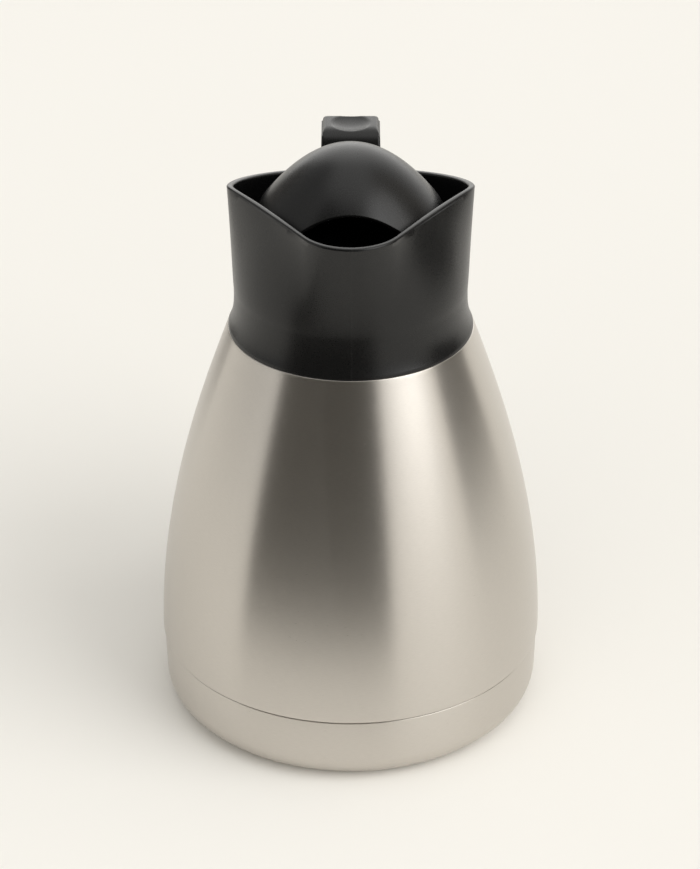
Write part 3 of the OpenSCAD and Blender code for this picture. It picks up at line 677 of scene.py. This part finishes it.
def dome_row(profile, angle, radius):
    """Points of the dome from its top to a radius, closer towards the end."""
    out = []
    for share in spaced(0.0, 1.0, 40):
        r = radius * sine(90 * share)
        out.append((r * sine(angle), -r * cosine(angle), height_at(profile, r)))
    return out


def skirt_row(profile, angle, radius):
    """Points of the hood's upright side, downwards."""
    heights = spaced(profile[-1][1], HOOD_LOW, 10)
    return [(radius * sine(angle), -radius * cosine(angle), z) for z in heights]


def mouth_lip(outside, inside):
    """Rounded edge of the mouth between two ends, each a point with its profile, angle and radius."""
    reached, least = 0.75, 0.2
    handles = []
    for point, profile, angle, r in (outside, inside):
        dr, dz = slope_at(profile, r)
        normal = Vector((-dz * sine(angle), dz * cosine(angle), dr))
        front = Vector((0, -1, 0))
        forward = (front - normal * front.dot(normal)).normalized()
        handles.append(Vector(point) + forward * (MOUTH_LIP / (reached * max(least, -forward.y))))
    return bezier([outside[0], *handles, inside[0]], 10)


def make_hood():
    """Two walls, each a front up to the mouth, two sides and a back over the slot, joined at their edges."""
    inner_r = HOOD_R - HOOD_WALL
    drop = 0.4 * HOOD_WALL
    slot_half = HUB_W / 2 + 0.25
    walls = []
    for edge_z, height, radius, cut in (
            (HOOD_EDGE_Z, DOME_H, HOOD_R, MOUTH_Y - MOUTH_LIP),
            (HOOD_EDGE_Z - drop, DOME_H - HOOD_WALL + drop, inner_r, MOUTH_Y - MOUTH_CUT)):
        walls.append((hood_profile(radius, edge_z, height), radius, cut))
    shape = Shape()

    fronts = []
    for profile, radius, cut in walls:
        edge = math.degrees(math.acos(cut / radius))
        reach = [(a, cut / cosine(a)) for a in spaced(-edge, edge, 56)]
        rows = [dome_row(profile, a, r) for a, r in reach]
        shape.grid(rows)
        fronts.append([(row[-1], profile, a, r) for row, (a, r) in zip(rows, reach)])
    shape.grid([mouth_lip(a, b) for a, b in zip(*fronts)])

    for side in (-1, 1):
        corners, bottoms, cheeks = [], [], []
        for profile, radius, cut in walls:
            edge = side * math.degrees(math.acos(cut / radius))
            slot = side * (180 - math.degrees(math.asin(slot_half / radius)))
            angles = spaced(edge, slot, 44)
            skirts = [skirt_row(profile, a, radius) for a in angles]
            shape.grid([dome_row(profile, a, radius) for a in angles])
            shape.grid(skirts)
            corners.append([(point, profile, edge, radius) for point in skirts[0]])
            bottoms.append([row[-1] for row in skirts])
            cheeks.append(skirts[-1])
        lips = [mouth_lip(a, b) for a, b in zip(*corners)]
        shape.grid(lips)
        shape.cap(shape.ring(lips[-1]))
        shape.grid(list(zip(*bottoms)))
        shape.grid(cheeks)

    lintels = []
    for profile, radius, _ in walls:
        angles = [180 - math.degrees(math.asin(x / radius)) for x in spaced(-slot_half, slot_half, 10)]
        rows = [dome_row(profile, a, radius) for a in angles]
        shape.grid(rows)
        lintels.append([row[-1] for row in rows])
    shape.grid(list(zip(*lintels)))
    piece("hood", shape, "lid", "black_plastic", ["lid_hood"], sharp=40)


def arm_side():
    """Side view of the lid's arm: from the plate, round below the pin, and up into the tab."""
    y, z, fillet, column = HINGE_Y, HINGE_Z, 4.0, 3.5
    drop = PLATE_Z - z
    start = math.degrees(math.atan2(drop, -math.sqrt(HUB_R ** 2 - drop ** 2)))
    side = [(ARM_START, PLATE_Z)] + arc(y, z, HUB_R, start, 0, 16)
    side += [(y + HUB_R, z + 13.6), (y + 1.2, z + 14.6), (y - 2.4, z + 11.5)]
    return side + arc(y - column - fillet, ARM_TOP + fillet, fillet, 0, -90, 8) + [(ARM_START, ARM_TOP)]


def tab_side():
    """Side view of the thumb tab, from the pin: a curved back, a thin rear edge and a round front."""
    under, rear_r, front_r = TAB_H - TAB_T, 1.2, 8.0
    rear_y, front_y = TAB_REACH - rear_r, front_r - TAB_FRONT
    side = [(HUB_R, TAB_LOW)]
    side += bezier([(HUB_R, TAB_LOW + 3.0), (HUB_R, TAB_LOW + 6.5), (HUB_R + 4, under - 0.8),
                    (TAB_REACH - 0.6, under)], 10)
    side += arc(rear_y, TAB_H - rear_r, rear_r, -40, 90, 8)
    side += [(y, TAB_H) for y in spaced(rear_y, front_y, 28)[1:-1]]
    side += arc(front_y, TAB_H - front_r, front_r, 90, 180, 28)
    return side + [(-TAB_FRONT, z) for z in spaced(TAB_H - front_r, TAB_LOW, 3)[1:]]


def tab_rings():
    """Sections of the tab across its width: round edges, rounded upper corners and a dish for the thumb."""
    half, side = TAB_W / 2, tab_side()
    straight_z, dish_low, corner_blend, dish_blend = TAB_LOW + 2, TAB_H - 6, 0.35, 0.22
    dish_r = (DISH_HALF ** 2 + DISH_DEPTH ** 2) / (2 * DISH_DEPTH)
    dish_z = TAB_H + dish_r - DISH_DEPTH
    rings = []
    for c in spaced(-1, 1, 64):
        x = half * (1.5 * c - 0.5 * c ** 3)
        from_side = half - abs(x)
        drawn_in = TAB_EDGE - math.sqrt(TAB_EDGE ** 2 - max(0.0, TAB_EDGE - from_side) ** 2)
        run = min(TAB_CORNER, max(0.0, TAB_CORNER + TAB_TAPER - from_side))
        limit = TAB_H - TAB_CORNER + math.sqrt(TAB_CORNER ** 2 - run ** 2)
        ring = []
        for y, z in inset(side, drawn_in):
            h = lesser(z, limit, corner_blend) if z > straight_z else z
            dish = dish_r ** 2 - x * x - (y - DISH_Y) ** 2
            if z > dish_low and dish > 0:
                h = lesser(h, dish_z - math.sqrt(dish), dish_blend)
            taper = TAB_TAPER / half * clamped(z / (TAB_H - TAB_CORNER))
            ring.append((x * (1 - taper), HINGE_Y + y, HINGE_Z + h))
        rings.append(ring)
    return rings


def make_lever():
    edge, arm_edge = 0.5, 0.6
    rim, top = PLATE_R - edge, PLATE_Z + PLATE_T
    shape = Shape()
    shape.lathe([(0, PLATE_Z)] + arc(rim, PLATE_Z + edge, edge, -90, 0, 4)
                + arc(rim, top - edge, edge, 0, 90, 4) + [(0, top)], 128)
    shape.slab(arm_side(), HUB_W / 2, arm_edge)
    shape.loft(tab_rings())
    piece("lever", shape, "lid", "black_plastic", ["lid_lever"], sharp=38)


# Handle: a grip with a cover along its inside, and two ears that hold the lid's pin

def grip_path():
    """Middle line of the handle as (y, z, direction), and the number of the point where the cover starts."""
    arm_rings = (HINGE_Y - 8, 50, HEAD_REAR_Y, HEAD_REAR_Y, 65, 72)
    grip_rings = (140, 130, 120, 110, 100, 92)
    low_y = GRIP_Y - BEND_LOW
    foot_rings = (low_y, 78, 74)
    path = [(y, ARM_Z, 0) for y in arm_rings]
    path += [(GRIP_Y - BEND_TOP + BEND_TOP * sine(t), ARM_Z - BEND_TOP + BEND_TOP * cosine(t), -t)
             for t in range(0, 91, 5)]
    path += [(GRIP_Y, z, -90) for z in grip_rings]
    path += [(low_y + BEND_LOW * cosine(t), LOW_Z + BEND_LOW - BEND_LOW * sine(t), -90 - t)
             for t in range(0, 91, 5)]
    path += [(y, LOW_Z, -180) for y in foot_rings]
    return path, arm_rings.index(HEAD_REAR_Y) + 1


def handle_ring(recess):
    """Section as (x, outwards), with a recess for the cover on the inner side."""
    x, out, r = HANDLE_W / 2 - HANDLE_CORNER, HANDLE_T / 2 - HANDLE_CORNER, HANDLE_CORNER
    pocket = COVER_HALF + COVER_GAP
    corner_end, side_share = 238, 0.92
    lip = -out - math.sqrt(r ** 2 - (pocket - x) ** 2)
    lip_depth = lip + side_share * recess
    corner = arc(-x, -out, r, 180, corner_end, 8)
    ring = arc(x, out, r, 0, 90, 10) + [(x * k, out + r) for k in (0.5, 0, -0.5)]
    ring += arc(-x, out, r, 90, 180, 10) + corner + [(-pocket, lip), (-pocket, lip_depth)]
    ring += [(pocket * k, recess - HANDLE_T / 2) for k in (-0.5, 0, 0.5)]
    ring += [(pocket, lip_depth), (pocket, lip)] + [(-px, py) for px, py in reversed(corner)]
    return ring


def on_path(point, section):
    """A section of (x, outwards) points, set square to the path at one of its points."""
    y, z, turn = point
    return [(x, y + out * sine(-turn), z + out * cosine(turn)) for x, out in section]


def make_arm():
    """Mesh of the grip, from the collar round to the body, with its screws' pockets."""
    path, head = grip_path()
    foot = len(path) - 3
    collar_r, body_gap, turn_step = RIM_R + 0.4, 0.5, 12
    rings = [on_path(p, handle_ring(COVER_T if head <= i <= foot else 0.0)) for i, p in enumerate(path)]
    rings.insert(foot + 1, on_path(path[foot], handle_ring(0.0)))
    rings[0] = [(x, math.sqrt(collar_r ** 2 - x * x), z) for x, y, z in rings[0]]
    rings.append([(x, math.sqrt((body_radius(z) + body_gap) ** 2 - x * x), z) for x, y, z in rings[-1]])
    shape = Shape()
    made = shape.loft(rings, caps=False)
    shape.fan(made[0], (0, collar_r, ARM_Z))
    shape.fan(made[-1], (0, body_radius(LOW_Z) + body_gap, LOW_Z))
    pockets = Shape()
    for arm_z, places in SCREW_ROWS:
        for y in places:
            circle = [(POCKET_R * sine(t), y + POCKET_R * cosine(t)) for t in range(0, 360, turn_step)]
            ends = (arm_z - HANDLE_T / 2 - 1, arm_z - SCREW_SEAT)
            pockets.loft([[(px, py, z) for px, py in circle] for z in ends])
    return without(solid_mesh("arm", shape), pockets)


def ear_outline(d):
    """Side view of an ear, drawn in by d: round about the pin, and down into the arm."""
    low_z, splay = ARM_Z + 3, 1.4
    low = (-EAR_R + d, -3, 0, 3, EAR_R + splay - d)
    return arc(HINGE_Y, HINGE_Z, EAR_R - d, -12, 192, 34) + [(HINGE_Y + y, low_z) for y in low]


def pin_hole(r):
    """Circle about the pin, with a point for each one of an ear's outline."""
    out = []
    for y, z in ear_outline(0):
        share = r / math.hypot(y - HINGE_Y, z - HINGE_Z)
        out.append((HINGE_Y + (y - HINGE_Y) * share, HINGE_Z + (z - HINGE_Z) * share))
    return out


def make_ears():
    """Mesh of the two ears, each with a bore for the pin."""
    edge, bevel, hub_gap = 0.7, 0.25, 0.5
    bore, mouth = PIN_R + 0.05, PIN_R + 0.3
    ears = Shape()
    for side in (-1, 1):
        inner, outer = side * (HUB_W / 2 + hub_gap), side * HANDLE_W / 2
        marks = [(inner, bevel), (inner + side * bevel, 0.0)]
        marks += [(outer - side * (edge - run), drop) for run, drop in rounding(edge, 4)]
        loops = [[(x, y, z) for y, z in ear_outline(drop)] for x, drop in marks]
        loops += [[(x, y, z) for y, z in pin_hole(r)]
                  for x, r in ((outer, mouth), (outer - side * bevel, bore), (inner, bore))]
        ears.loft(loops, loop=True)
    return solid_mesh("ears", ears)


def make_handle():
    piece("grip", together("grip", [make_arm(), make_ears()]), "jug", "black_plastic", ["handle_shell"])


def make_cover():
    """Strip along the inside of the grip, with a small seam all round."""
    half, inner = COVER_HALF - 0.1, -HANDLE_T / 2
    sunk, step, crown, face = 0.15, 0.75, 0.2, 0.93
    edge = [(half, inner + COVER_T - sunk), (half, inner + step), (half - 0.35, inner + 0.34)]
    section = edge + [(face * half * k, inner + crown * k ** 2) for k in spaced(1, -1, 16)]
    section += [(-x, out) for x, out in reversed(edge)]
    path, head = grip_path()
    stretch = path[head:-2]
    rings = []
    for i, (y, z, turn) in enumerate(stretch):
        gap = COVER_GAP if i in (0, len(stretch) - 1) else 0.0
        rings.append(on_path((y + gap, z, turn), section))
    shape = Shape()
    shape.loft(rings)
    piece("grip_cover", shape, "jug", "black_plastic", ["handle_cover"])


def make_pin():
    half, edge = HANDLE_W / 2 - 0.3, 0.3
    outline = [(0, -half), (PIN_R - edge, -half), (PIN_R, -half + edge), (PIN_R, half - edge),
               (PIN_R - edge, half), (0, half)]
    shape = Shape()
    shape.lathe(outline, 40, lambda x, y, z: (z, HINGE_Y + x, HINGE_Z + y))
    piece("pin", shape, "jug", "bare_steel", ["hinge_pin"])


def add_screw(shape, x, y, seat, length, up):
    """Pan-head screw with a cross recess; up is 1 where its tip looks up and -1 where it looks down."""
    head_r, head_h, side_h, shank_r, tip_r, tip_h, turns = 2.7, 1.8, 0.5, 1.5, 0.7, 0.8, 48
    slot_half, slot_blend, slot_reach, end_blend, slot_depth = 0.42, 0.18, 1.55, 0.3, 0.75

    def circle(r, z):
        return [(r * cosine(360 * j / turns), r * sine(360 * j / turns), z) for j in range(turns)]

    rings = []
    for share in spaced(0.0, 1.0, 14):
        r = head_r * share
        ring = []
        for px, py, pz in circle(r, -head_h + 0.55 * share ** 4 + 0.35 * share ** 2):
            arm = clamped((slot_half - min(abs(px), abs(py))) / slot_blend)
            arm *= clamped((slot_reach - r) / end_blend)
            ring.append((px, py, pz + slot_depth * arm * arm * (3 - 2 * arm)))
        rings.append(ring)
    rings += [circle(r, z) for r, z in ((head_r, -side_h), (head_r, 0.0), (shank_r, 0.0),
                                        (shank_r, length - tip_h), (tip_r, length))]
    shape.loft([[(x + px, y + py * up, seat + pz * up) for px, py, pz in ring] for ring in rings])


def make_screws():
    shape = Shape()
    for z, places in SCREW_ROWS:
        for y in places:
            add_screw(shape, 0, y, z - SCREW_SEAT, length=6, up=1)
    piece("grip_screws", shape, "jug", "bare_steel", ["handle_screws"], sharp=50)
    shape = Shape()
    for a in (-90, 30, 150):
        x, y = LID_SCREW_CIRCLE * cosine(a), LID_SCREW_CIRCLE * sine(a)
        add_screw(shape, x, y, PLATE_Z + PLATE_T, length=9, up=-1)
    piece("lid_screws", shape, "lid", "bare_steel", ["stopper_screws"], sharp=50)


def make_stopper():
    """Tapered stopper with a shallow hollow below, and its silicone ring, whose face follows the seat."""
    low, top, wall = PLATE_Z - STOPPER_DEPTH, GASKET_Z + GASKET_H, STOPPER_WALL
    tip_r, shoulder_r, groove_r, flange_r = THROAT_R - 5.5, THROAT_R - 1.5, THROAT_R - 2.9, PLATE_R - 0.4
    tip_round, edge, shoulder_h, hollow = 1.8, 0.3, 1.6, 0.9
    outline = [(0, low + hollow), (9.0, low + hollow), (9.6, low + 0.75), (10.0, low + 0.25), (10.6, low)]
    outline += arc(tip_r - tip_round, low + tip_round, tip_round, -90, -8, 8)
    outline += [(shoulder_r - 0.5, GASKET_Z - shoulder_h)]
    outline += arc(shoulder_r - edge, GASKET_Z - edge, edge, 0, 90, 3)
    outline += [(groove_r, GASKET_Z), (groove_r, top)] + arc(flange_r - edge, top + edge, edge, -90, 0, 3)
    outline += [(flange_r, PLATE_Z), (groove_r - wall, PLATE_Z), (groove_r - wall, GASKET_Z),
                (tip_r - wall, low + wall + hollow), (0, low + wall + hollow)]
    shape = Shape()
    shape.lathe(outline, 128)
    piece("stopper", shape, "lid", "black_plastic", ["stopper_body"])

    clear, face_h, bead_r, ring_edge = 0.3, 2.2, 0.5, 0.4
    face_top = GASKET_Z + face_h
    low_r = THROAT_R - clear * math.sqrt(2) - SEAT_Z + GASKET_Z
    high_r = low_r + face_h
    ring = [(groove_r, GASKET_Z), (low_r - 0.5, GASKET_Z), (low_r - 0.05, GASKET_Z + 0.12),
            (low_r + 0.3, GASKET_Z + 0.4), (high_r - 0.35, face_top - 0.35)]
    ring += arc(high_r - 0.6, face_top + 0.2, bead_r, -20, 20, 3)
    ring += arc(high_r - 0.5, top - ring_edge, ring_edge, 0, 90, 4) + [(groove_r, top)]
    shape = Shape()
    shape.lathe(ring, 128)
    piece("seal", shape, "lid", "silicone", ["stopper_gasket"])


def make_pad():
    """Non-slip pad with a raised middle field and three round grooves."""
    raised, groove, half, slant, edge = 0.25, 0.35, 0.5, 0.2, 0.4
    outline = [(0, raised), (PAD_FLAT, raised), (PAD_FLAT + 0.3, 0.0)]
    for r in PAD_GROOVES:
        outline += [(r - half, 0.0), (r - half + slant, groove), (r + half - slant, groove), (r + half, 0.0)]
    outline += arc(PAD_R - edge, edge, edge, -90, 0, 4) + [(PAD_R, PAD_T), (0, PAD_T)]
    shape = Shape()
    shape.lathe(outline, 160)
    piece("pad", shape, "jug", "silicone", ["foot_pad"])


def make_flask():
    """Flask of one wall thickness: floor, side, shoulder and neck, welded into one."""
    neck_r, edge = NECK_R - SHEET - NECK_GAP, 0.3
    high_r = SHOULDER_R + SLOPE * (SHOULDER_Z - FLASK_SHOULDER_Z) - SHOULDER_GAP / cosine(SHOULDER_SLOPE)
    lean = 0.5 * (FLASK_NECK_Z - FLASK_SHOULDER_Z)
    outer = [(0, FLASK_FLOOR)] + arc(FLASK_R - FLASK_CORNER, FLASK_WALL_Z, FLASK_CORNER, -90, 0, 16)[:-1]
    outer += wall_line(FLASK_R, FLASK_WALL_Z, high_r, FLASK_SHOULDER_Z, FLASK_PULL, 30)
    outer += bezier([(high_r, FLASK_SHOULDER_Z), (high_r - SLOPE * lean, FLASK_SHOULDER_Z + lean),
                     (neck_r, FLASK_NECK_Z - lean), (neck_r, FLASK_NECK_Z)], 20)[1:]
    inner = [(0, FLASK_FLOOR + SHEET)] + shifted(outer, SHEET)[1:]
    outline = outer + [(neck_r, LIP_Z - SHEET), (NECK_R - SHEET, LIP_Z - SHEET), (NECK_R - SHEET, LIP_Z)]
    outline += [(MOUTH_R + edge, LIP_Z), (MOUTH_R, LIP_Z - edge)] + inner[::-1]
    shape = Shape()
    shape.lathe(outline, 160)
    piece("flask", shape, "jug", "bare_steel", ["inner_flask", "flask_neck", "flask_bottom"])


make_body()
make_cup()
make_collar()
make_hood()
make_lever()
make_handle()
make_cover()
make_pin()
make_screws()
make_stopper()
make_pad()
make_flask()


# Studio; lengths are in metres from here on

def make_floor():
    half, dark, light = 9.0, (0.894, 0.872, 0.822), (0.902, 0.880, 0.832)
    mesh = bpy.data.meshes.new("floor")
    corners = [(-half, -half, 0), (half, -half, 0), (half, half, 0), (-half, half, 0)]
    mesh.from_pydata(corners, [], [(0, 1, 2, 3)])
    mat, n, shader = material("floor")
    paper = n.noise(n.add("ShaderNodeTexCoord").outputs["Object"], scale=2.2)
    n.put(shader.inputs["Base Color"], n.mix(n.spread(paper), dark, light))
    n.put(shader.inputs["Roughness"], 0.9)
    n.put(shader.inputs["Specular IOR Level"], 0.1)
    mesh.materials.append(mat)
    floor = bpy.data.objects.new("floor", mesh)
    bpy.context.scene.collection.objects.link(floor)


def make_world():
    """Soft studio by direction, 0 degrees behind the camera; reflections see panels, other rays a room."""
    world = bpy.data.worlds.new("studio")
    bpy.context.scene.world = world
    world.use_nodes = True
    n = Nodes(world.node_tree)
    x, y, z = n.parts(n.add("ShaderNodeTexCoord").outputs["Generated"])
    angle = n.math("ARCTAN2", x, n.math("MULTIPLY", y, -1.0))
    turn = n.math("ADD", n.math("DIVIDE", angle, 2 * math.pi), 0.5)

    def stop(degrees, level, tint=PAPER):
        return degrees / 360.0 + 0.5, tuple(level * c for c in tint)

    panels = n.ramp(turn, [
        stop(-180, 2.10), stop(-155, 1.70), stop(-138, 0.42), stop(-112, 0.43), stop(-85, 0.53),
        stop(-62, 0.74), stop(-50, 0.06), stop(-8, 0.07, WARM), stop(8, 0.23, WARM), stop(19, 0.45, WARM),
        stop(29, 0.92), stop(37, 1.15), stop(58, 1.26), stop(64, 0.70), stop(72, 0.55, WARM),
        stop(118, 0.55, WARM), stop(132, 0.85), stop(155, 1.70), stop(180, 2.10)])
    room = n.ramp(turn, [
        stop(-180, 0.35), stop(-120, 0.38), stop(-60, 0.70), stop(-30, 1.15), stop(50, 1.20), stop(90, 0.90),
        stop(130, 0.45), stop(180, 0.35)])
    light = n.add("ShaderNodeLightPath")
    side = n.mix(light.outputs["Is Glossy Ray"], room, panels)
    overhead = tuple(1.27 * c for c in PAPER)
    studio = n.mix(n.between(z, 0.84, 0.95), side, overhead)
    colour = n.mix(light.outputs["Is Camera Ray"], studio, BACKDROP)
    back = n.add("ShaderNodeBackground", in_Color=colour, in_Strength=1.0)
    n.fill("ShaderNodeOutputWorld", (back.outputs[0],))


def make_sun(name, azimuth, elevation, width, strength):
    """Distant soft light, width degrees across."""
    data = bpy.data.lights.new(name, "SUN")
    data.energy = strength
    data.angle = math.radians(width)
    lamp = bpy.data.objects.new(name, data)
    way = Vector((sine(azimuth) * cosine(elevation), -cosine(azimuth) * cosine(elevation), sine(elevation)))
    lamp.rotation_euler = way.to_track_quat("Z", "Y").to_euler()
    bpy.context.scene.collection.objects.link(lamp)


def make_flag(name, left, right, radius, low, high, colour):
    """Curved card about the object between two angles, which only reflections show."""
    steps = 40
    points = []
    for a in spaced(left, right, steps):
        points += [(radius * sine(a), -radius * cosine(a), z) for z in (low, high)]
    mesh = bpy.data.meshes.new(name)
    mesh.from_pydata(points, [], [(2 * i, 2 * i + 2, 2 * i + 3, 2 * i + 1) for i in range(steps)])
    mat, n, shader = material(name)
    n.put(shader.inputs["Base Color"], (*colour, 1))
    n.put(shader.inputs["Roughness"], 0.9)
    mesh.materials.append(mat)
    flag = bpy.data.objects.new(name, mesh)
    flag.visible_camera = flag.visible_diffuse = flag.visible_shadow = False
    bpy.context.scene.collection.objects.link(flag)


def make_camera():
    """Camera that looks down on the jug from the front, with a long lens."""
    distance, height, tilt = 0.95418, 0.6543, 60.17
    data = bpy.data.cameras.new("camera")
    data.sensor_fit = "VERTICAL"
    data.sensor_height = 36.0
    data.sensor_width = 36.0
    data.lens = 123.33
    data.shift_x = -0.00086
    data.clip_start = 0.05
    data.clip_end = 60.0
    camera = bpy.data.objects.new("camera", data)
    camera.location = (0.0, -distance, height)
    camera.rotation_euler = (math.radians(tilt), 0.0, 0.0)
    bpy.context.scene.collection.objects.link(camera)
    bpy.context.scene.camera = camera


make_floor()
make_world()
make_sun("key", azimuth=62, elevation=36, width=50, strength=1.15)
make_flag("front_flag", left=-57, right=21, radius=0.25, low=0.0, high=0.6, colour=(0.06, 0.056, 0.049))
make_flag("right_flag", left=74, right=112, radius=0.42, low=0.05, high=0.40, colour=(0.09, 0.085, 0.077))
make_flag("left_flag", left=-150, right=-126, radius=0.42, low=0.04, high=0.40, colour=(0.20, 0.19, 0.18))
make_camera()
bpy.context.scene.view_settings.view_transform = "Standard"
